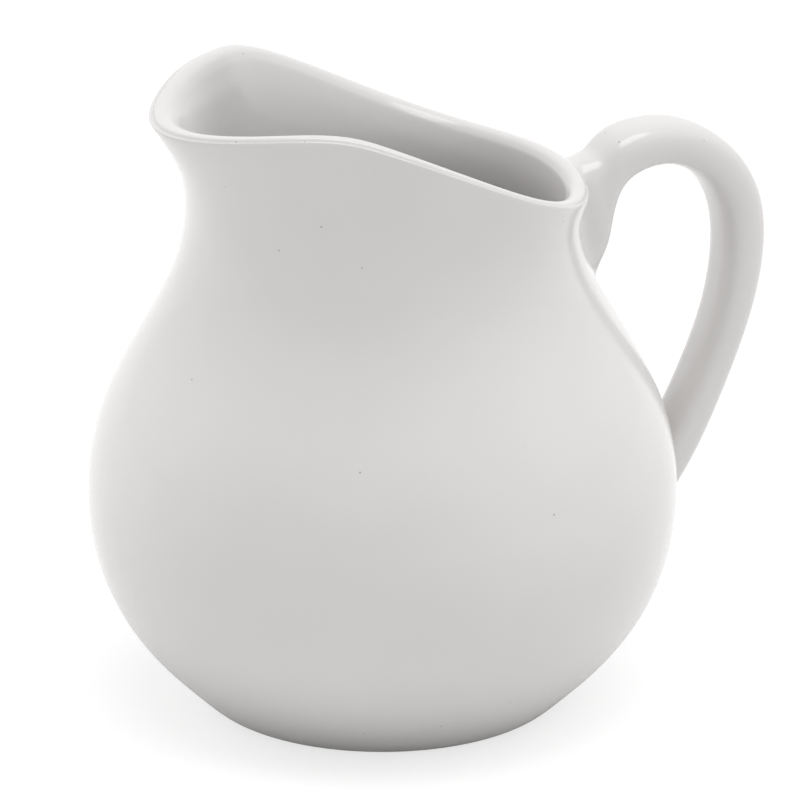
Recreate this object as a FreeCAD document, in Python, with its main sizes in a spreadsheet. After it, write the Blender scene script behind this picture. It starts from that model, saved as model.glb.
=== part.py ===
import FreeCAD, Part
import math
import os

from FreeCAD import Vector

# Porcelain milk jug, slip-cast in one piece with its handle.
# Frame: origin on the jug's axis at the plane it stands on, +Z up, handle towards +X, spout towards -X.
# The jug is its own mirror image across the XZ plane.

# ---------------------------------------------------------------- driving dimensions, millimetres
SIZES = [
    # the round pot
    ("foot_diameter", 52.6),
    ("belly_diameter", 90.0),
    ("belly_level", 33.0),
    ("neck_diameter", 58.8),
    ("neck_level", 79.0),
    # the mouth: lip centre line
    ("mouth_diameter", 58.0),
    ("mouth_width", 63.8),
    ("rim_back_level", 81.2),
    ("rim_side_level", 91.1),
    ("rim_spout_level", 94.9),
    ("rim_wave", 2.2),
    ("spout_reach", 6.8),
    ("spout_pinch", 2.9),
    # clay thicknesses
    ("wall", 3.5),
    ("lip_thickness", 2.8),
    ("spout_lip_thickness", 3.4),
    ("floor_thickness", 3.4),
    # the unglazed foot ring
    ("foot_ring_width", 4.2),
    ("foot_recess_depth", 1.4),
    # the handle
    ("handle_stand", 19.6),
    ("handle_rise", 4.8),
    ("handle_tail_level", 17.5),
    ("handle_thickness", 7.4),
    ("handle_width", 10.4),
    ("handle_root_drop", 25.0),
]

# ---------------------------------------------------------------- shape constants
COLUMNS = 32                 # control columns round the axis
POLE_SWELL = 3.0 / (2.0 + math.cos(2.0 * math.pi / COLUMNS))    # a ring's poles stand outside its circle
BELLY_SWELL = 1.0075         # and the belly's poles outside its bulge
LIP_SWELL = 1.0 / 0.93       # the same for the poles round the lip
LOWER_FULLNESS = 2.45        # roundness of the pot below the belly
SHOULDER_START = 2.5         # how long the shoulder keeps the belly's width
SHOULDER_FALL = 3.0          # how steeply it then runs into the neck
LOWER_RINGS = (0.08, 0.27, 0.54, 0.85)     # share of the way from the foot up to the belly
SHOULDER_RINGS = (0.11, 0.33, 0.54)        # share of the way from the belly up to the neck
MOUTH_RINGS = (0.30, 0.55, 0.75, 0.90)     # share of the way from the shoulder up to the lip
MOUTH_FLARE = 5.0            # the neck opens into the lip with this power of the height
SPOUT_SHARPNESS = 24.0       # power that narrows the spout's nose
PINCH_ANGLE = 125.0          # degrees from the handle
PINCH_WIDTH = 14.6           # degrees
FOOT_ROUNDING = 1.03         # the outer face leaves the foot plane level, out to this share of the foot
FLOOR_RINGS = ((1.06, 0.9), (0.80, 0.0), (0.40, 0.0))      # share of the foot, rise above the floor
ABOVE_MOUTH = 30.0           # how far the core for trimming the handle stands above the rim

# Handle stations from the rim down to the belly, at the handle's outer edge:
# share across from the pot to the full reach, share of the height, thickness, share of the root's drop,
# lean of the section in degrees from +X, width.
HANDLE_STATIONS = [
    (-0.060, 0.927, 0.00, 1.00, 92.3, 1.10),
    (0.006, 0.938, 0.00, 0.84, 108.5, 1.05),
    (0.163, 0.925, 1.00, 0.05, 98.3, 1.00),
    (0.233, 0.993, 1.08, 0.00, 108.5, 1.00),
    (0.673, 1.010, 1.11, 0.00, 62.6, 1.02),
    (1.020, 0.829, 1.11, 0.00, 19.1, 1.00),
    (1.002, 0.592, 0.97, 0.00, -2.5, 0.97),
    (0.788, 0.376, 0.82, 0.00, -28.7, 0.93),
    (0.339, 0.113, 0.97, 0.00, -33.5, 1.00),
    (-0.260, -0.015, 0.66, 0.00, -70.0, 1.20),
]
SECTION_CORNER = 0.86        # corner poles of the handle's section, 1 would be the fullest


# ---------------------------------------------------------------- document and sheet
doc = FreeCAD.newDocument("milk_jug")
sheet = doc.addObject("Spreadsheet::Sheet", "Sizes")
for row, (alias, value) in enumerate(SIZES, start=1):
    sheet.set("A%d" % row, alias)
    sheet.set("B%d" % row, str(value))
    sheet.setAlias("B%d" % row, alias)
doc.recompute()


def size(alias):
    """One driving dimension, read back from the sheet."""
    return float(sheet.get(alias))


# ---------------------------------------------------------------- the pot's outline
def pot_radius(level):
    """Outer radius of the turned pot at a height, without the spout's pull."""
    foot = size("foot_diameter") / 2
    belly = size("belly_diameter") / 2 * BELLY_SWELL
    neck = size("neck_diameter") / 2
    if level <= size("belly_level"):
        rise = max(level, 0.0) / size("belly_level")
        return foot + (belly - foot) * (1 - (1 - rise) ** LOWER_FULLNESS)
    rise = (level - size("belly_level")) / (size("neck_level") - size("belly_level"))
    if rise >= 1:
        return neck
    return neck + (belly - neck) * (1 - rise ** SHOULDER_START) ** SHOULDER_FALL


def rim_height(angle):
    """Height of the lip's centre line: low at the handle, a crest beside the spout."""
    back, side = size("rim_back_level"), size("rim_side_level")
    front, wave = size("rim_spout_level"), size("rim_wave")
    ends = (back + front) / 2
    mean = (ends + side) / 2
    tilt = (back - front) / 2 - wave
    arch = (ends - side) / 2
    return mean + tilt * math.cos(angle) + arch * math.cos(2 * angle) + wave * math.cos(3 * angle)


def rim_radius(angle):
    """Radius of the lip's centre line: an oval with the spout pulled out and pinched at both sides."""
    turn = abs(math.remainder(angle, 2 * math.pi))
    wider = (size("mouth_width") - size("mouth_diameter")) * math.sin(turn) ** 2
    mouth = (size("mouth_diameter") + wider) / 2
    nose = size("spout_reach") * math.sin(turn / 2) ** (2 * SPOUT_SHARPNESS)
    aside = (math.degrees(turn) - PINCH_ANGLE) / PINCH_WIDTH
    return mouth + nose - size("spout_pinch") * math.exp(-aside * aside)


def lip_half(angle):
    """Half the lip's thickness, swelled for its control points: it is thickest at the spout."""
    thicker = (size("spout_lip_thickness") - size("lip_thickness")) * math.sin(angle / 2) ** 2
    return (size("lip_thickness") + thicker) / 2 * LIP_SWELL


def column(angle, depth):
    """Control points (radius, height) up one side of the pot, `depth` inside its outer face."""
    belly_level = size("belly_level")
    shoulder_height = size("neck_level") - belly_level
    levels = [belly_level * share for share in LOWER_RINGS]
    levels += [belly_level + shoulder_height * share for share in SHOULDER_RINGS]
    shoulder_level = levels[-1]
    points = [(pot_radius(level), level) for level in levels]
    pull = rim_radius(angle) + lip_half(angle) - size("neck_diameter") / 2
    for share in MOUTH_RINGS:
        level = shoulder_level + share * (rim_height(angle) - shoulder_level)
        points.append((pot_radius(level) + pull * share ** MOUTH_FLARE, level))
    moved = []
    for index, (radius, level) in enumerate(points):
        before, after = points[max(index - 1, 0)], points[min(index + 1, len(points) - 1)]
        along = (after[0] - before[0], after[1] - before[1])
        length = math.hypot(*along)
        moved.append((radius - depth * along[1] / length, level + depth * along[0] / length))
    return moved


def lip_points(angle):
    """Control points up the lip's outer side and over its top."""
    radius, level, half = rim_radius(angle), rim_height(angle), lip_half(angle)
    return [(radius + half, level - half), (radius + half, level + half), (radius - half, level + half)]


def floor_points():
    """Control points of the inner floor, from its rounded edge in to its flat middle."""
    foot = size("foot_diameter") / 2
    level = size("foot_recess_depth") + size("floor_thickness")
    return [(foot * share, level + rise) for share, rise in FLOOR_RINGS]


# ---------------------------------------------------------------- smooth skins over control points
def skin(rings):
    """Solid under a bicubic surface: each ring closed, the first and last rings flat and capped."""
    last = len(rings) - 3
    along = list(range(last + 1))
    around = list(range(len(rings[0]) + 1))
    surface = Part.BSplineSurface()
    surface.buildFromPolesMultsKnots(
        rings, [4] + [1] * (last - 1) + [4], [1] * len(around), along, around, False, True, 3, 3)
    faces = [surface.toShape()]
    for end in (along[0], along[-1]):
        faces.append(Part.Face(Part.Wire([surface.uIso(end).toShape()])))
    shell = Part.makeShell(faces)
    shell.sewShape()
    solid = Part.makeSolid(shell)
    if solid.Volume < 0:
        solid.reverse()
    return solid


def turned_rings(outline):
    """Rings round the axis from a function that gives each column's (radius, height) points."""
    angles = [2 * math.pi * step / COLUMNS for step in range(COLUMNS)]
    columns = [outline(angle) for angle in angles]
    rings = []
    for index in range(len(columns[0])):
        ring = []
        for angle, points in zip(angles, columns):
            radius, level = points[index]
            reach = radius * POLE_SWELL
            ring.append(Vector(reach * math.cos(angle), reach * math.sin(angle), level))
        rings.append(ring)
    return rings


def wall_outline(angle):
    """From the foot up the outside, over the lip and down the inside to the floor."""
    foot = size("foot_diameter") / 2
    outside = [(foot, 0.0), (foot * FOOT_ROUNDING, 0.0)] + column(angle, 0)
    inside = column(angle, size("wall"))[1:]
    return outside + lip_points(angle) + inside[::-1] + floor_points()


def core_outline(angle):
    """Everything inside the middle of the wall, carried on upwards past the mouth."""
    middle = column(angle, size("wall") / 2)[1:]
    mouth = size("mouth_diameter") / 2
    top = size("rim_side_level") + ABOVE_MOUTH
    above = [(rim_radius(angle), rim_height(angle)), (mouth, top - ABOVE_MOUTH / 3), (mouth, top)]
    return floor_points()[::-1] + middle + above


def handle_rings():
    """Rounded oblong sections square to the handle, from inside the neck to inside the belly."""
    belly, neck = size("belly_diameter") / 2, size("neck_diameter") / 2
    bottom = size("handle_tail_level")
    top = size("rim_back_level") + size("handle_rise")
    full_reach = belly + size("handle_stand")
    rings = []
    for across, height, thick, root, lean, broad in HANDLE_STATIONS:
        pot = belly + (neck - belly) * height
        outer = Vector(pot + across * (full_reach - pot), 0, bottom + height * (top - bottom))
        half = (thick * size("handle_thickness") + root * size("handle_root_drop")) / 2
        outward = Vector(math.cos(math.radians(lean)), 0, math.sin(math.radians(lean)))
        sideways = Vector(0, size("handle_width") / 2 * broad, 0)
        middle = outer - outward * half
        corner = SECTION_CORNER
        ring = [(1, 0), (corner, corner), (0, 1), (-corner, corner),
                (-1, 0), (-corner, -corner), (0, -1), (corner, -corner)]
        rings.append([middle + outward * (half * out) + sideways * aside for out, aside in ring])
    return rings


# ---------------------------------------------------------------- the pieces of clay
def feature(name, shape):
    """A freeform object of the document."""
    thing = doc.addObject("Part::Feature", name)
    thing.Shape = shape
    thing.Placement = FreeCAD.Placement()
    return thing


pot = feature("Pot", skin(turned_rings(wall_outline)))
core = feature("Core", skin(turned_rings(core_outline)))
handle = feature("Handle", skin(handle_rings()))

# The handle is luted on: its roots end in the middle of the wall and never reach the inside.
trimmed_handle = doc.addObject("Part::Cut", "TrimmedHandle")
trimmed_handle.Base = handle
trimmed_handle.Tool = core

joined = doc.addObject("Part::Fuse", "Joined")
joined.Base = pot
joined.Tool = trimmed_handle

# The foot is turned hollow underneath, which leaves the unglazed ring that the jug stands on.
recess = doc.addObject("Part::Cone", "FootRecess")
recess.setExpression("Radius1", "Sizes.foot_diameter / 2 - Sizes.foot_ring_width")
recess.setExpression("Radius2", "Sizes.foot_diameter / 2 - Sizes.foot_ring_width - Sizes.foot_recess_depth")
recess.setExpression("Height", "Sizes.foot_recess_depth")

jug = doc.addObject("Part::Cut", "Jug")
jug.Base = joined
jug.Tool = recess
jug.Label = "milk_jug"

doc.recompute()

# ---------------------------------------------------------------- check and write
for thing in doc.Objects:
    if "Invalid" in thing.State or "Error" in thing.State:
        raise RuntimeError("%s failed: %s" % (thing.Name, thing.State))
for thing in (pot, core, handle, trimmed_handle, joined, recess, jug):
    if thing.Shape.isNull() or not thing.Shape.isValid():
        raise RuntimeError("%s has no valid shape" % thing.Name)
if len(jug.Shape.Solids) != 1:
    raise RuntimeError("the jug is %d solids" % len(jug.Shape.Solids))

os.makedirs("parts", exist_ok=True)
jug.Shape.exportStep("parts/%s.step" % jug.Label)
print("milk_jug: %.1f cm3 of porcelain" % (jug.Shape.Volume / 1000))
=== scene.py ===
"""A porcelain milk jug, glazed white, empty, standing on a plain white floor.

Metres throughout. Z is the axis of the round pot and the foot stands on Z = 0, the handle points to +X and
the spout to -X. The jug is one piece, so it is one smooth mesh: a grid of points on the pot's surface, with
the handle grown out of two openings in that grid.
"""
import math
from collections import namedtuple

import bmesh
import bpy
import numpy as np
from mathutils import Matrix, Vector


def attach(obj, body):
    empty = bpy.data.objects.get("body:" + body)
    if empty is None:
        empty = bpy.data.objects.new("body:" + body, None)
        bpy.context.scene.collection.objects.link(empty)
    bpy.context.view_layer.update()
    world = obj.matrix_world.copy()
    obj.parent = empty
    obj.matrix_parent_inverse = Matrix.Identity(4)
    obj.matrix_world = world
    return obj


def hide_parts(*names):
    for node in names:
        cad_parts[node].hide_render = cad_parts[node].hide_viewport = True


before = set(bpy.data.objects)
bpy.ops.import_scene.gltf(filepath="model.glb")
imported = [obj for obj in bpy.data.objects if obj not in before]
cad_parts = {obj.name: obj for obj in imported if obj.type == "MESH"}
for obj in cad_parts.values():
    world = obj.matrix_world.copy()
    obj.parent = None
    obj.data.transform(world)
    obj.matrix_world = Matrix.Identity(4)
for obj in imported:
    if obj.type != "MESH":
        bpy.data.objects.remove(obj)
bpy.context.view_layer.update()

# ------------------------------------------------------------------ sizes, as in the CAD part
FOOT_RADIUS = 0.0263
BELLY_RADIUS = 0.0450
BELLY_LEVEL = 0.0330
NECK_RADIUS = 0.0294
NECK_LEVEL = 0.0790
MOUTH_RADIUS = 0.0290
MOUTH_SIDE_RADIUS = 0.0319
RIM_BACK_LEVEL = 0.0812
RIM_SIDE_LEVEL = 0.0911
RIM_SPOUT_LEVEL = 0.0949
RIM_WAVE = 0.0022
SPOUT_REACH = 0.0068
SPOUT_PINCH = 0.0029
WALL = 0.0035
LIP_THICKNESS = 0.0028
SPOUT_LIP_THICKNESS = 0.0034
FLOOR_THICKNESS = 0.0034
FOOT_RING_WIDTH = 0.0042
FOOT_RECESS_DEPTH = 0.0014
HANDLE_STAND = 0.0196
HANDLE_RISE = 0.0048
HANDLE_TAIL_LEVEL = 0.0175
HANDLE_THICKNESS = 0.0074
HANDLE_WIDTH = 0.0104
HANDLE_ROOT_DROP = 0.0250

# ------------------------------------------------------------------ shape constants, as in the CAD part
COLUMNS = 32                  # control columns round the axis
POLE_SWELL = 3 / (2 + math.cos(2 * math.pi / COLUMNS))    # control rings stand outside the true ones
BELLY_SWELL = 1.0075          # and the belly's control points outside its bulge
LIP_SWELL = 1 / 0.93          # the same for the control points round the lip
LOWER_FULLNESS = 2.45         # roundness of the pot below the belly
SHOULDER_START = 2.5          # how long the shoulder keeps the belly's width
SHOULDER_FALL = 3.0           # how steeply it then runs into the neck
LOWER_RINGS = (0.08, 0.27, 0.54, 0.85)      # share of the way from the foot up to the belly
SHOULDER_RINGS = (0.11, 0.33, 0.54)         # share of the way from the belly up to the neck
MOUTH_RINGS = (0.30, 0.55, 0.75, 0.90)      # share of the way from the shoulder up to the lip
MOUTH_FLARE = 5.0             # the neck opens into the lip with this power of the height
SPOUT_SHARPNESS = 24.0        # power that narrows the spout's nose
PINCH_ANGLE = 125.0           # degrees from the handle to the pinch beside the spout
PINCH_WIDTH = 14.6            # degrees
FOOT_ROUNDING = 1.03          # the outer face leaves the foot plane level, out to this share of the foot
FLOOR_RINGS = ((1.06, 0.0009), (0.80, 0.0), (0.40, 0.0))    # inside: share of the foot's radius, rise

# Along the handle's outer edge: share of the way from the pot to the full reach, share of the height,
# thickness, share of the root's drop, lean of the section in degrees, width.
HANDLE_STATIONS = (
    (-0.060, 0.927, 0.00, 1.00, 92.3, 1.10),
    (0.006, 0.938, 0.00, 0.84, 108.5, 1.05),
    (0.163, 0.925, 1.00, 0.05, 98.3, 1.00),
    (0.233, 0.993, 1.08, 0.00, 108.5, 1.00),
    (0.673, 1.010, 1.11, 0.00, 62.6, 1.02),
    (1.020, 0.829, 1.11, 0.00, 19.1, 1.00),
    (1.002, 0.592, 0.97, 0.00, -2.5, 0.97),
    (0.788, 0.376, 0.82, 0.00, -28.7, 0.93),
    (0.339, 0.113, 0.97, 0.00, -33.5, 1.00),
    (-0.260, -0.015, 0.66, 0.00, -70.0, 1.20),
)
SECTION_CORNER = 0.86         # how far the section's corners reach, as a share of its half sizes

# ------------------------------------------------------------------ density of the mesh
GRID_COLUMNS = 64             # columns of the pot's mesh, two for each control column
PATCH_REACH = 3               # a handle root's opening reaches this many columns to each side
PATCH_ROWS = 6                # and is this many rows high
AROUND = 4 * PATCH_REACH + 2 * PATCH_ROWS    # points round the handle
HANDLE_RINGS = 26
BLEND_COLUMNS = 10            # columns beside the roots whose points make room for them
ROWS_BELOW = 5                # and rows below the lower root
ROWS_ABOVE = 9                # and above the upper root that do so too
SPREAD_ROUNDS = 400           # rounds of evening out how far those points move
SUBDIVISIONS = 2
FIT_ROUNDS = 24               # rounds of moving the mesh's corners so that the smooth surface fits
FIT_SHRINK = 0.9997           # across only, so that it stays within the CAD part's facets
FLAT_START = 0.0008           # the foot ring's outermost flat ring of corners, in from its edge
FLAT_END = 0.0005             # and its innermost, out from the recess
RECESS_EDGE = ((-0.0001, 0.00005), (0.0003, 0.0004), (0.0010, 0.0011))    # its rounded edge: inward, rise
RECESS_FLAT = (0.0002, 0.0012)     # rings that start its flat, further in than once its depth
MIDDLE_RINGS = (0.66, 0.33)   # the last rings of a flat disc, as shares of its radius
ROOT_GAP = 0.0015             # the handle's own rings start this far off the wall
ROOT_BLEND = 0.0018           # and the wall starts to turn towards it this far outside its outline
ROOT_TOP = RIM_BACK_LEVEL + LIP_THICKNESS * 0.1    # no higher than this, which leaves the lip round
FOOT_ROWS = (0, 0.35, 0.8, 1.3)    # places of the first rows, close together round the foot's edge
LOWER_ROWS = 5                # rows from there up to the lower root
BACK_ROWS = 7                 # rows between the roots
LIP_ROWS = 8                  # rows from the upper root over the lip
LIP_PLACES = 3.5              # places along the surface from the last outer ring to inside the lip
INSIDE_ROWS = 2               # rows to each place down the inside
OUTSIDE_SHARE = 0.6           # the foot to well past the lip, as a share of the pot's whole length
OUTSIDE_SAMPLES = 4000
HANDLE_SAMPLES = 1401


# ------------------------------------------------------------------ smooth curves over control points
def clamped_weights(places, count):
    """Weights of the control points of an evenly knotted cubic with clamped ends, at places 0..count-3."""
    spans = count - 3
    knots = np.concatenate([np.zeros(3), np.arange(spans + 1.0), np.full(3, float(spans))])
    places = np.clip(np.ravel(places), 0, spans - 1e-9)[:, None]
    weights = ((knots[:-1] <= places) & (places < knots[1:])).astype(float)
    for degree in (1, 2, 3):
        start, end = knots[:-degree - 1], knots[degree + 1:]
        rise = knots[degree:-1] - start
        fall = end - knots[1:-degree]
        upward = np.where(rise > 0, (places - start) / np.where(rise > 0, rise, 1), 0)
        downward = np.where(fall > 0, (end - places) / np.where(fall > 0, fall, 1), 0)
        weights = upward * weights[:, :-1] + downward * weights[:, 1:]
    return weights


def closed_weights(places, count):
    """Weights of the control points of an evenly knotted closed cubic, nearest to point n at place n."""
    places = np.ravel(places)
    start = np.floor(places).astype(int)
    part = places - start
    shares = ((1 - part) ** 3, 3 * part ** 3 - 6 * part ** 2 + 4,
              -3 * part ** 3 + 3 * part ** 2 + 3 * part + 1, part ** 3)
    weights = np.zeros((len(places), count))
    for offset, share in zip((-1, 0, 1, 2), shares):
        weights[np.arange(len(places)), (start + offset) % count] += share / 6
    return weights


def surface_points(poles, along, around):
    """Points of a surface, clamped along its first direction and closed round its second."""
    lengthwise = clamped_weights(along, poles.shape[0])
    crosswise = closed_weights(around, poles.shape[1])
    return np.einsum("pi,pj,ijk->pk", lengthwise, crosswise, poles, optimize=True)


# ------------------------------------------------------------------ control points of the pot
def pot_radius(level):
    """Outer radius of the turned pot at a height, without the spout's pull."""
    belly = BELLY_RADIUS * BELLY_SWELL
    if level <= BELLY_LEVEL:
        rise = max(level, 0) / BELLY_LEVEL
        return FOOT_RADIUS + (belly - FOOT_RADIUS) * (1 - (1 - rise) ** LOWER_FULLNESS)
    rise = min((level - BELLY_LEVEL) / (NECK_LEVEL - BELLY_LEVEL), 1)
    return NECK_RADIUS + (belly - NECK_RADIUS) * (1 - rise ** SHOULDER_START) ** SHOULDER_FALL


def rim_height(angle):
    """Height of the lip's centre line: low at the handle, a crest beside the spout."""
    ends = (RIM_BACK_LEVEL + RIM_SPOUT_LEVEL) / 2
    mean = (ends + RIM_SIDE_LEVEL) / 2
    tilt = (RIM_BACK_LEVEL - RIM_SPOUT_LEVEL) / 2 - RIM_WAVE
    arch = (ends - RIM_SIDE_LEVEL) / 2
    return mean + tilt * math.cos(angle) + arch * math.cos(2 * angle) + RIM_WAVE * math.cos(3 * angle)


def rim_radius(angle):
    """Radius of the lip's centre line: wider across than along, the spout pulled out and pinched beside."""
    turn = abs(math.remainder(angle, 2 * math.pi))
    mouth = MOUTH_RADIUS + (MOUTH_SIDE_RADIUS - MOUTH_RADIUS) * math.sin(turn) ** 2
    nose = SPOUT_REACH * math.sin(turn / 2) ** (2 * SPOUT_SHARPNESS)
    aside = (math.degrees(turn) - PINCH_ANGLE) / PINCH_WIDTH
    return mouth + nose - SPOUT_PINCH * math.exp(-aside * aside)


def lip_half(angle):
    """Half the lip's thickness, as its control points need it: the spout's lip is the thickest."""
    thicker = (SPOUT_LIP_THICKNESS - LIP_THICKNESS) * math.sin(angle / 2) ** 2
    return (LIP_THICKNESS + thicker) / 2 * LIP_SWELL


def outer_column(angle):
    """Control points (radius, height) up one side of the pot, from above the foot to below the lip."""
    shoulder_height = NECK_LEVEL - BELLY_LEVEL
    levels = [BELLY_LEVEL * share for share in LOWER_RINGS]
    levels += [BELLY_LEVEL + shoulder_height * share for share in SHOULDER_RINGS]
    shoulder_level = levels[-1]
    points = [(pot_radius(level), level) for level in levels]
    pull = rim_radius(angle) + lip_half(angle) - NECK_RADIUS
    for share in MOUTH_RINGS:
        level = shoulder_level + share * (rim_height(angle) - shoulder_level)
        points.append((pot_radius(level) + pull * share ** MOUTH_FLARE, level))
    return points


def inner_column(angle):
    """The same column, one wall thickness further in."""
    points = outer_column(angle)
    moved = []
    for index, (radius, level) in enumerate(points):
        before, after = points[max(index - 1, 0)], points[min(index + 1, len(points) - 1)]
        along = (after[0] - before[0], after[1] - before[1])
        length = math.hypot(*along)
        moved.append((radius - WALL * along[1] / length, level + WALL * along[0] / length))
    return moved[1:]


def pot_column(angle):
    """From the foot up the outside, over the lip and down the inside to the floor."""
    radius, level, half = rim_radius(angle), rim_height(angle), lip_half(angle)
    lip = [(radius + half, level - half), (radius + half, level + half), (radius - half, level + half)]
    foot = [(FOOT_RADIUS, 0), (FOOT_RADIUS * FOOT_ROUNDING, 0)]
    inner_floor = FOOT_RECESS_DEPTH + FLOOR_THICKNESS
    floor = [(FOOT_RADIUS * share, inner_floor + rise) for share, rise in FLOOR_RINGS]
    return foot + outer_column(angle) + lip + inner_column(angle)[::-1] + floor


def pot_poles():
    """Control points of the whole pot: rings from the foot to the inner floor, columns round the axis."""
    columns = []
    for step in range(COLUMNS):
        angle = 2 * math.pi * step / COLUMNS
        columns.append([(radius * POLE_SWELL * math.cos(angle),
                         radius * POLE_SWELL * math.sin(angle), level)
                        for radius, level in pot_column(angle)])
    return np.array(columns).transpose(1, 0, 2)


# ------------------------------------------------------------------ control points of the handle
def handle_poles():
    """Rounded oblong sections square to the handle, from inside the neck to inside the belly."""
    top = RIM_BACK_LEVEL + HANDLE_RISE
    full_reach = BELLY_RADIUS + HANDLE_STAND
    corner = SECTION_CORNER
    ring = ((1, 0), (corner, corner), (0, 1), (-corner, corner),
            (-1, 0), (-corner, -corner), (0, -1), (corner, -corner))
    sections = []
    for across, height, thick, root, lean, broad in HANDLE_STATIONS:
        pot = BELLY_RADIUS + (NECK_RADIUS - BELLY_RADIUS) * height
        outer = np.array([pot + across * (full_reach - pot), 0,
                          HANDLE_TAIL_LEVEL + height * (top - HANDLE_TAIL_LEVEL)])
        half = (thick * HANDLE_THICKNESS + root * HANDLE_ROOT_DROP) / 2
        outward = np.array([math.cos(math.radians(lean)), 0, math.sin(math.radians(lean))])
        sideways = np.array([0, HANDLE_WIDTH / 2 * broad, 0])
        sections.append([outer + outward * half * (out - 1) + sideways * aside for out, aside in ring])
    return np.array(sections)


POT = pot_poles()
HANDLE = handle_poles()
POT_LENGTH = POT.shape[0] - 3        # places along the pot's surface run from 0 to this
HANDLE_LENGTH = HANDLE.shape[0] - 3
HANDLE_SIDES = HANDLE.shape[1]


# ------------------------------------------------------------------ where the handle meets the pot
class WallProfile:
    """The pot's outer outline on the handle's side, read by height."""

    def __init__(self):
        places = np.linspace(0, POT_LENGTH * OUTSIDE_SHARE, OUTSIDE_SAMPLES)
        points = surface_points(POT, places, np.zeros_like(places))
        crest = int(points[:, 2].argmax()) + 1
        self.places, self.levels, self.radii = places[:crest], points[:crest, 2], points[:crest, 0]

    def radius(self, level):
        return np.interp(level, self.levels, self.radii)

    def place(self, level):
        return np.interp(level, self.levels, self.places)

    def level(self, place):
        return np.interp(place, self.places, self.levels)


# For each point round the handle: the place along the handle where its own surface starts, and where on the
# pot's wall the blend begins, as control columns from the handle and as a height.
Root = namedtuple("Root", "start turn level")


def first_at(clearance, wanted):
    """For each column of a table, the first row whose value reaches the wanted one."""
    return (clearance >= wanted).argmax(axis=0)


def handle_root(wall, from_end):
    """The Root at one end of the handle. Its start clears the wall by ROOT_GAP, and its blend begins
    ROOT_BLEND outside the line where the handle meets the wall."""
    around = np.arange(AROUND) * HANDLE_SIDES / AROUND
    places = np.linspace(0, HANDLE_LENGTH, HANDLE_SAMPLES)
    if from_end:
        places = places[::-1]
    grid_along, grid_around = np.meshgrid(places, around, indexing="ij")
    points = surface_points(HANDLE, grid_along, grid_around).reshape(len(places), AROUND, 3)
    clearance = np.hypot(points[..., 0], points[..., 1]) - wall.radius(points[..., 2])
    start = places[first_at(clearance, ROOT_GAP)]
    meets = points[first_at(clearance, 0), np.arange(AROUND)]
    middle = (meets[:, 2].max() + meets[:, 2].min()) / 2
    outward = np.stack([meets[:, 1], meets[:, 2] - middle], axis=1)
    outward *= 1 + ROOT_BLEND / np.linalg.norm(outward, axis=1, keepdims=True)
    level = np.minimum(middle + outward[:, 1], ROOT_TOP)
    turn = outward[:, 0] / wall.radius(level) * COLUMNS / (2 * math.pi)
    return Root(start, turn, level)


def patch_border(first_row, upper):
    """Grid cells' corners (row, column) round a root's opening, in the order of the handle's points."""
    far, last = PATCH_REACH, PATCH_ROWS
    half = [(0, column) for column in range(far)]
    half += [(row, far) for row in range(last)]
    half += [(last, column) for column in range(far, -1, -1)]
    whole = half + [(row, -column) for row, column in half[-2:0:-1]]
    if upper:
        whole = [(last - row, column) for row, column in whole]
    return [(first_row + row, column) for row, column in whole]


# ------------------------------------------------------------------ the mesh
def spaced(start, end, steps):
    """Evenly spaced values after start, up to and with end."""
    return list(np.linspace(start, end, steps + 1)[1:])


def pot_rows(wall, lower, upper):
    """Places of the grid's rows along the pot's surface, and the first row of each root's opening."""
    tail = (lower.level.min(), lower.level.max())
    head = (upper.level.min(), upper.level.max())
    rows = list(FOOT_ROWS)
    rows += list(wall.place(spaced(wall.level(rows[-1]), tail[0], LOWER_ROWS)))
    tail_row = len(rows) - 1
    rows += list(wall.place(spaced(tail[0], tail[1], PATCH_ROWS)))
    rows += list(wall.place(spaced(tail[1], head[0], BACK_ROWS)))
    head_row = len(rows) - 1
    rows += list(wall.place(spaced(head[0], head[1], PATCH_ROWS)))
    lip_end = len(outer_column(0)) + LIP_PLACES
    rows += spaced(rows[-1], lip_end, LIP_ROWS)
    rows += spaced(rows[-1], POT_LENGTH, INSIDE_ROWS * int(POT_LENGTH - lip_end))
    return np.array(rows), tail_row, head_row


def make_room(turns, places, fixed, region):
    """Spreads the moves of the fixed points smoothly over the region round them."""
    even_turns, even_places = turns.copy(), places.copy()
    for (row, column), (turn, place) in fixed.items():
        turns[row, column], places[row, column] = turn, place
    rows, columns = np.array(sorted(region - set(fixed))).T
    moves = np.stack([turns - even_turns, places - even_places])
    for _ in range(SPREAD_ROUNDS):
        above_and_below = np.roll(moves, 1, 1) + np.roll(moves, -1, 1)
        around = (above_and_below + np.roll(moves, 1, 2) + np.roll(moves, -1, 2)) / 4
        moves[:, rows, columns] = around[:, rows, columns]
    return even_turns + moves[0], even_places + moves[1]


def grid_places(wall, lower, upper):
    """Turn and place of every corner of the pot's grid, spread to make room for both roots, and the borders
    of both roots' openings."""
    rows, tail_row, head_row = pot_rows(wall, lower, upper)
    columns = np.arange(GRID_COLUMNS)
    columns = np.where(columns >= GRID_COLUMNS // 2, columns - GRID_COLUMNS, columns)
    turns, places = np.meshgrid(columns * COLUMNS / GRID_COLUMNS, rows)
    fixed, borders = {}, []
    for first_row, root, is_upper in ((tail_row, lower, False), (head_row, upper, True)):
        border = patch_border(first_row, is_upper)
        borders.append(border)
        for (row, column), turn, level in zip(border, root.turn, root.level):
            fixed[row, column] = (turn, float(wall.place(level)))
    region = {(row, column) for row in range(tail_row - ROWS_BELOW, head_row + PATCH_ROWS + ROWS_ABOVE)
              for column in range(-BLEND_COLUMNS, BLEND_COLUMNS + 1)}
    turns, places = make_room(turns, places, fixed, region)
    return turns, places, borders


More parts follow.
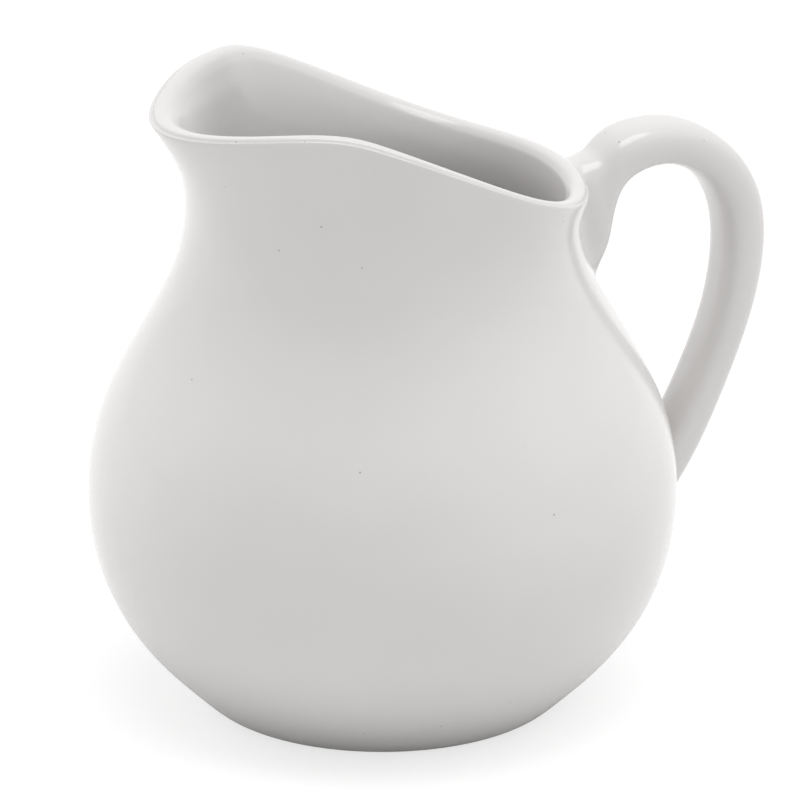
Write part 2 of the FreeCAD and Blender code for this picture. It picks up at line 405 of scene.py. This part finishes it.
def inside_border(row, column, border):
    """Is this corner of the grid strictly inside a root's opening?"""
    aside = abs((column + GRID_COLUMNS // 2) % GRID_COLUMNS - GRID_COLUMNS // 2)
    rows = [row for row, _ in border]
    return aside < PATCH_REACH and min(rows) < row < max(rows)


def add_pot(cage, turns, places, borders):
    """The pot's grid of quads, without what lies inside the openings."""
    points = surface_points(POT, places, turns).reshape(*turns.shape, 3)
    grid = [[None if any(inside_border(row, column, border) for border in borders)
             else cage.verts.new(points[row, column])
             for column in range(GRID_COLUMNS)] for row in range(len(points))]
    for row in range(len(grid) - 1):
        for column in range(GRID_COLUMNS):
            after = (column + 1) % GRID_COLUMNS
            corners = (grid[row][column], grid[row][after], grid[row + 1][after], grid[row + 1][column])
            if None not in corners:
                cage.faces.new(corners)
    return grid


def jug_mesh():
    """The jug's whole surface, as a cage of quads with both of the handle's roots grown into the pot."""
    wall = WallProfile()
    upper, lower = handle_root(wall, False), handle_root(wall, True)
    turns, places, borders = grid_places(wall, lower, upper)
    cage = bmesh.new()
    grid = add_pot(cage, turns, places, borders)
    tail_loop, head_loop = [[grid[row][column] for row, column in border] for border in borders]
    add_handle(cage, head_loop, tail_loop, upper.start, lower.start)
    add_disc(cage, grid[0], foot_underside())
    add_disc(cage, grid[-1], inner_floor_middle())
    bmesh.ops.recalc_face_normals(cage, faces=cage.faces)
    swell_to_fit(cage)
    mesh = bpy.data.meshes.new("milk_jug_glazed")
    cage.to_mesh(mesh)
    cage.free()
    return mesh


def join_loops(cage, first, second):
    """Quads between two closed loops with as many points."""
    count = len(first)
    for index in range(count):
        after = (index + 1) % count
        cage.faces.new((first[index], first[after], second[after], second[index]))


def add_handle(cage, head_loop, tail_loop, start, end):
    """Rings of the handle from the neck down to the belly, joined to both openings."""
    around = np.arange(AROUND) * HANDLE_SIDES / AROUND
    loop = head_loop
    for share in np.linspace(0, 1, HANDLE_RINGS):
        ring = surface_points(HANDLE, start + (end - start) * share, around)
        verts = [cage.verts.new(point) for point in ring]
        join_loops(cage, loop, verts)
        loop = verts
    join_loops(cage, loop, tail_loop)


def swell_to_fit(cage):
    """Subdivision pulls a surface inside its cage, so this moves the corners outward until the smooth
    surface passes through the places where they were. Corners beside triangles stay."""
    cage.verts.index_update()
    wanted = np.array([vert.co for vert in cage.verts])
    sides = np.array([[vert.index for vert in edge.verts] for edge in cage.edges])
    quads = np.array([[vert.index for vert in face.verts] for face in cage.faces if len(face.verts) == 4])
    diagonals = np.concatenate([quads[:, ::2], quads[:, 1::2]])
    valence = np.bincount(sides.ravel(), minlength=len(wanted))[:, None]
    free = np.bincount(diagonals.ravel(), minlength=len(wanted)) == valence[:, 0]

    def neighbour_sum(pairs, places):
        total = np.zeros_like(places)
        np.add.at(total, pairs[:, 0], places[pairs[:, 1]])
        np.add.at(total, pairs[:, 1], places[pairs[:, 0]])
        return total

    places = wanted.copy()
    for _ in range(FIT_ROUNDS):
        smooth = valence ** 2 * places + 4 * neighbour_sum(sides, places) + neighbour_sum(diagonals, places)
        smooth /= valence * (valence + 5)
        places[free] += (wanted - smooth)[free]
    on_floor = wanted[:, 2] == 0
    places[on_floor, 2] = 0
    places[:, :2] *= FIT_SHRINK
    for vert, place in zip(cage.verts, places):
        vert.co = place


def foot_underside():
    """(radius, height) of the rings under the foot: its flat unglazed ring, the recess and the middle."""
    inner = FOOT_RADIUS - FOOT_RING_WIDTH
    flat = [FOOT_RADIUS - FLAT_START, FOOT_RADIUS - FOOT_RING_WIDTH / 2, inner + FLAT_END]
    recess = [inner - FOOT_RECESS_DEPTH - further for further in RECESS_FLAT]
    recess += [(inner - FOOT_RECESS_DEPTH) * share for share in MIDDLE_RINGS]
    return ([(radius, 0) for radius in flat]
            + [(inner - inward, rise) for inward, rise in RECESS_EDGE]
            + [(radius, FOOT_RECESS_DEPTH) for radius in recess])


def inner_floor_middle():
    """(radius, height) of the last rings of the floor inside the jug."""
    level = FOOT_RECESS_DEPTH + FLOOR_THICKNESS
    edge = FOOT_RADIUS * FLOOR_RINGS[-1][0]
    return [(edge * share, level) for share in MIDDLE_RINGS]


def add_disc(cage, loop, rings):
    """Closes a round hole with rings that shrink to a middle point."""
    angles = 2 * math.pi * np.arange(GRID_COLUMNS) / GRID_COLUMNS
    for radius, level in rings:
        verts = [cage.verts.new((radius * math.cos(angle), radius * math.sin(angle), level))
                 for angle in angles]
        join_loops(cage, loop, verts)
        loop = verts
    middle = cage.verts.new((0, 0, rings[-1][1]))
    for index, vert in enumerate(loop):
        cage.faces.new((vert, loop[(index + 1) % len(loop)], middle))


def smooth_piece(name, mesh):
    """An object from a cage, with its subdivision worked into the mesh."""
    caged = bpy.data.objects.new(name + "_cage", mesh)
    bpy.context.scene.collection.objects.link(caged)
    modifier = caged.modifiers.new("smooth", "SUBSURF")
    modifier.levels = modifier.render_levels = SUBDIVISIONS
    depsgraph = bpy.context.evaluated_depsgraph_get()
    smooth = bpy.data.meshes.new_from_object(caged.evaluated_get(depsgraph))
    bpy.data.objects.remove(caged)
    smooth.name = name
    smooth.polygons.foreach_set("use_smooth", [True] * len(smooth.polygons))
    piece = bpy.data.objects.new(name, smooth)
    bpy.context.scene.collection.objects.link(piece)
    return piece


# ------------------------------------------------------------------ materials
GLAZE_ROUGHNESS = 0.16
GLAZE_IOR = 1.5
GLAZE_TONES = (0.616, 0.603, 0.594, 1), (0.632, 0.619, 0.610, 1)
CLOUD_SCALE = 45              # patches of tone to a metre
WAVE_SCALE = 90               # and hollows of the glaze's surface
WAVE_HEIGHT = 0.001
WAVE_STRENGTH = 0.04
SPECK_COLOUR = (0.36, 0.33, 0.30, 1)
SPECK_CELLS = 200             # cells to a metre, each with room for one speck
SPECK_RADIUS = 0.030          # as a share of a cell
SPECK_SHARE = 0.6             # of the cells that have one
CLAY_ROUGHNESS = 0.85
CLAY_TONES = (0.56, 0.53, 0.48, 1), (0.64, 0.61, 0.56, 1)
GRAIN_SCALE = 1800
GRAIN_HEIGHT = 0.0002
GRAIN_STRENGTH = 0.3
BARE_BELOW = 0.0001           # the foot ring's flat lies lower than this
BARE_PAST = 0.0004            # and reaches this far past the foot's radius


def new_material(name):
    """An empty node material with its Principled shader."""
    material = bpy.data.materials.new(name)
    material.use_nodes = True
    tree = material.node_tree
    return material, tree.nodes, tree.links, tree.nodes["Principled BSDF"]


def object_noise(nodes, links, scale, detail):
    """Value of a noise fixed to the object, with features about 1 / scale metres wide."""
    place = nodes.new("ShaderNodeTexCoord")
    noise = nodes.new("ShaderNodeTexNoise")
    noise.inputs["Scale"].default_value = scale
    noise.inputs["Detail"].default_value = detail
    links.new(place.outputs["Object"], noise.inputs["Vector"])
    return noise.outputs["Fac"]


def ramp_between(nodes, links, source, low, high, colours):
    """A colour that runs from the first to the second as the source value goes from low to high."""
    ramp = nodes.new("ShaderNodeValToRGB")
    for element, position, colour in zip(ramp.color_ramp.elements, (low, high), colours):
        element.position = position
        element.color = colour
    links.new(source, ramp.inputs["Fac"])
    return ramp.outputs["Color"]


def calculated(nodes, links, operation, first, second):
    """The result of a Math node on a socket and another socket or a number."""
    node = nodes.new("ShaderNodeMath")
    node.operation = operation
    links.new(first, node.inputs[0])
    if isinstance(second, float):
        node.inputs[1].default_value = second
    else:
        links.new(second, node.inputs[1])
    return node.outputs[0]


def add_bump(nodes, links, shader, height, strength, distance):
    """Relief on a shader from a texture's value, `distance` metres high at full strength."""
    bump = nodes.new("ShaderNodeBump")
    bump.inputs["Strength"].default_value = strength
    bump.inputs["Distance"].default_value = distance
    links.new(height, bump.inputs["Height"])
    links.new(bump.outputs["Normal"], shader.inputs["Normal"])


def speck_mask(nodes, links):
    """1 inside a few tiny round specks and 0 elsewhere."""
    place = nodes.new("ShaderNodeTexCoord")
    cells = nodes.new("ShaderNodeTexVoronoi")
    cells.inputs["Scale"].default_value = SPECK_CELLS
    cells.inputs["Randomness"].default_value = 1
    links.new(place.outputs["Object"], cells.inputs["Vector"])
    chance = nodes.new("ShaderNodeSeparateColor")
    links.new(cells.outputs["Color"], chance.inputs["Color"])
    near = calculated(nodes, links, "LESS_THAN", cells.outputs["Distance"], SPECK_RADIUS)
    chosen = calculated(nodes, links, "GREATER_THAN", chance.outputs["Red"], 1 - SPECK_SHARE)
    return calculated(nodes, links, "MULTIPLY", near, chosen)


def glaze_material():
    """White porcelain under clear glaze: faint clouding, a hardly visible waviness, a few iron specks."""
    material, nodes, links, shader = new_material("glazed_porcelain")
    shader.inputs["Roughness"].default_value = GLAZE_ROUGHNESS
    shader.inputs["IOR"].default_value = GLAZE_IOR
    clouds = object_noise(nodes, links, CLOUD_SCALE, 2)
    tone = ramp_between(nodes, links, clouds, 0.3, 0.7, GLAZE_TONES)
    spotted = nodes.new("ShaderNodeMix")
    spotted.data_type = "RGBA"
    spotted.inputs["B"].default_value = SPECK_COLOUR
    links.new(speck_mask(nodes, links), spotted.inputs["Factor"])
    links.new(tone, spotted.inputs["A"])
    links.new(spotted.outputs["Result"], shader.inputs["Base Color"])
    waves = object_noise(nodes, links, WAVE_SCALE, 1)
    add_bump(nodes, links, shader, waves, WAVE_STRENGTH, WAVE_HEIGHT)
    return material


def bisque_material():
    """The bare fired clay of the foot ring: matt, a little warmer, finely grained."""
    material, nodes, links, shader = new_material("bare_foot_ring")
    shader.inputs["Roughness"].default_value = CLAY_ROUGHNESS
    grain = object_noise(nodes, links, GRAIN_SCALE, 4)
    links.new(ramp_between(nodes, links, grain, 0.35, 0.65, CLAY_TONES), shader.inputs["Base Color"])
    add_bump(nodes, links, shader, grain, GRAIN_STRENGTH, GRAIN_HEIGHT)
    return material


def finish_jug(piece):
    """Glaze everywhere, and bare clay on the flat of the foot ring."""
    piece.data.materials.append(glaze_material())
    piece.data.materials.append(bisque_material())
    inner = FOOT_RADIUS - FOOT_RING_WIDTH
    for face in piece.data.polygons:
        radius = math.hypot(face.center.x, face.center.y)
        if face.center.z < BARE_BELOW and inner < radius < FOOT_RADIUS + BARE_PAST:
            face.material_index = 1


# ------------------------------------------------------------------ floor, light and camera
FLOOR_SIZE = 3.0              # radius
FLOOR_SIDES = 96
FLOOR_COLOUR = 0.82           # of the floor as the light finds it
GLOSS_GLOW = 0.05             # what the glaze's reflection of the floor has added
SHADOW_DEPTH = 0.327          # how strongly the camera sees the jug's shadow on the floor
SHADOW_GLOW = 0.700           # and what it sees of the floor without the lamps
WORLD_LIGHT = 0.57            # strength of the even light from all round
# Lamps: name, degrees to the right of the camera, degrees above the floor, strength, width in degrees and
# whether the glaze shows them.
LAMPS = (
    ("left_back", 240, 20, 1.20, 55, False),
    ("right_high", 90, 50, 1.13, 55, False),
    ("overhead", 0, 85, 1.26, 40, True),
)
CAMERA_DISTANCE = 1.5
CAMERA_TURN = math.radians(26.05)         # from +Y towards +X
CAMERA_DIP = math.radians(20.4)           # looking down
CAMERA_WIDTH = 0.12192                    # what the frame spans at the jug
CAMERA_AIM = (0.0027, 0.0471)             # to the right of the axis, above the floor
SENSOR = 36.0                             # millimetres, as the lens length


def seen_directly(nodes, links, kinds=("Is Camera Ray", "Is Glossy Ray", "Is Transmission Ray")):
    """1 for rays that show a thing to the eye, in gloss and glass too; 0 for rays that carry light."""
    path = nodes.new("ShaderNodeLightPath")
    most = path.outputs[kinds[0]]
    for kind in kinds[1:]:
        most = calculated(nodes, links, "MAXIMUM", most, path.outputs[kind])
    return most


def shown_floor(nodes, links, colour, glow):
    """Shader of a floor that takes the jug's shadow and glows by itself."""
    soft = nodes.new("ShaderNodeBsdfDiffuse")
    soft.inputs["Color"].default_value = (colour, colour, colour, 1)
    own = nodes.new("ShaderNodeEmission")
    own.inputs["Strength"].default_value = glow
    both = nodes.new("ShaderNodeAddShader")
    links.new(soft.outputs[0], both.inputs[0])
    links.new(own.outputs[0], both.inputs[1])
    return both.outputs[0]


def mixed_shader(nodes, links, factor, first, second):
    """One shader where the factor is 0 and another where it is 1."""
    mixed = nodes.new("ShaderNodeMixShader")
    links.new(factor, mixed.inputs[0])
    links.new(first, mixed.inputs[1])
    links.new(second, mixed.inputs[2])
    return mixed.outputs[0]


def floor_material():
    """A white sweep: plain matt for the light, white with the jug's soft shadow to the eye and in gloss."""
    material = bpy.data.materials.new("white_floor")
    material.use_nodes = True
    nodes, links = material.node_tree.nodes, material.node_tree.links
    nodes.clear()
    matt = shown_floor(nodes, links, FLOOR_COLOUR, 0)
    in_gloss = shown_floor(nodes, links, FLOOR_COLOUR, GLOSS_GLOW)
    to_camera = shown_floor(nodes, links, SHADOW_DEPTH, SHADOW_GLOW)
    shown = mixed_shader(nodes, links, seen_directly(nodes, links), matt, in_gloss)
    shown = mixed_shader(nodes, links, seen_directly(nodes, links, ("Is Camera Ray",)), shown, to_camera)
    output = nodes.new("ShaderNodeOutputMaterial")
    links.new(shown, output.inputs["Surface"])
    return material


def make_floor():
    """A flat round floor under the foot."""
    bpy.ops.mesh.primitive_circle_add(vertices=FLOOR_SIDES, radius=FLOOR_SIZE, fill_type="NGON")
    floor = bpy.context.object
    floor.name = "floor"
    floor.data.materials.append(floor_material())


def make_world(light):
    """White all round to the eye, and an even light of the given strength."""
    world = bpy.data.worlds.new("studio")
    bpy.context.scene.world = world
    world.use_nodes = True
    nodes, links = world.node_tree.nodes, world.node_tree.links
    nodes.clear()
    lighting, shown = nodes.new("ShaderNodeBackground"), nodes.new("ShaderNodeBackground")
    for background, strength in ((lighting, light), (shown, 1.0)):
        background.inputs["Color"].default_value = (1, 1, 1, 1)
        background.inputs["Strength"].default_value = strength
    mixed = mixed_shader(nodes, links, seen_directly(nodes, links), lighting.outputs[0], shown.outputs[0])
    output = nodes.new("ShaderNodeOutputWorld")
    links.new(mixed, output.inputs["Surface"])


def camera_axes():
    """The camera's right, up and forward directions."""
    right = Vector((math.cos(CAMERA_TURN), -math.sin(CAMERA_TURN), 0))
    level = Vector((math.sin(CAMERA_TURN), math.cos(CAMERA_TURN), 0))
    forward = level * math.cos(CAMERA_DIP) - Vector((0, 0, math.sin(CAMERA_DIP)))
    return right, right.cross(forward), forward


def soft_lamp(name, turn, rise, strength, width, in_gloss):
    """A lamp `width` degrees wide, `turn` degrees to the right of the camera and `rise` above the floor."""
    right, _, forward = camera_axes()
    front = -Vector((forward.x, forward.y, 0)).normalized()
    level = front * math.cos(math.radians(turn)) + right * math.sin(math.radians(turn))
    towards = level * math.cos(math.radians(rise)) + Vector((0, 0, math.sin(math.radians(rise))))
    lamp = bpy.data.lights.new(name, "SUN")
    lamp.angle = math.radians(width)
    lamp.energy = strength
    holder = bpy.data.objects.new(name, lamp)
    holder.rotation_euler = towards.to_track_quat("Z", "Y").to_euler()
    holder.visible_glossy = in_gloss
    bpy.context.scene.collection.objects.link(holder)


def make_camera():
    """A long lens a little above the jug, on the spout's and handle's near side."""
    right, up, forward = camera_axes()
    aim = right * CAMERA_AIM[0] + Vector((0, 0, CAMERA_AIM[1]))
    data = bpy.data.cameras.new("camera")
    data.sensor_width = SENSOR
    data.lens = SENSOR * CAMERA_DISTANCE / CAMERA_WIDTH
    camera = bpy.data.objects.new("camera", data)
    turned = Matrix((right, up, -forward)).transposed().to_4x4()
    camera.matrix_world = Matrix.Translation(aim - forward * CAMERA_DISTANCE) @ turned
    bpy.context.scene.collection.objects.link(camera)
    bpy.context.scene.camera = camera


# ------------------------------------------------------------------ the scene
jug = smooth_piece("milk_jug_glazed", jug_mesh())
finish_jug(jug)
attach(jug, "root")
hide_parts("milk_jug")

make_floor()
make_world(WORLD_LIGHT)
for lamp_values in LAMPS:
    soft_lamp(*lamp_values)
make_camera()
bpy.context.scene.view_settings.view_transform = "Standard"
